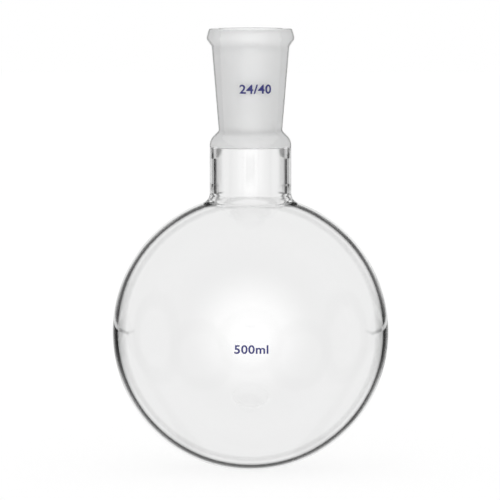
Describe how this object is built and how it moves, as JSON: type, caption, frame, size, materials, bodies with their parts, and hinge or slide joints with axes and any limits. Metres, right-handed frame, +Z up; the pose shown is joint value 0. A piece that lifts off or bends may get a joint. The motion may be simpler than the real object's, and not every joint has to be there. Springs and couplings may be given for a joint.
{
  "type": "round-bottom flask",
  "caption": "Round-bottom laboratory flask in clear borosilicate glass: a blown spherical bulb, a straight neck and a tapered ground socket with a beaded rim.",
  "frame": {"origin": "on the flask's axis, halfway up the straight neck, where a clamp holds it", "axes": "+Z up along the axis that bulb, neck and socket share, towards the mouth; +X and +Y are alike, and the size marks of the visual model face -Y"},
  "size_m": [0.105, 0.105, 0.1681],
  "materials": {
    "borosilicate_glass": "polished",
    "ground_glass": "matte",
    "blue_enamel": "satin"
  },
  "bodies": {
    "root": {"flask": "borosilicate_glass"}
  },
  "joints": []
}
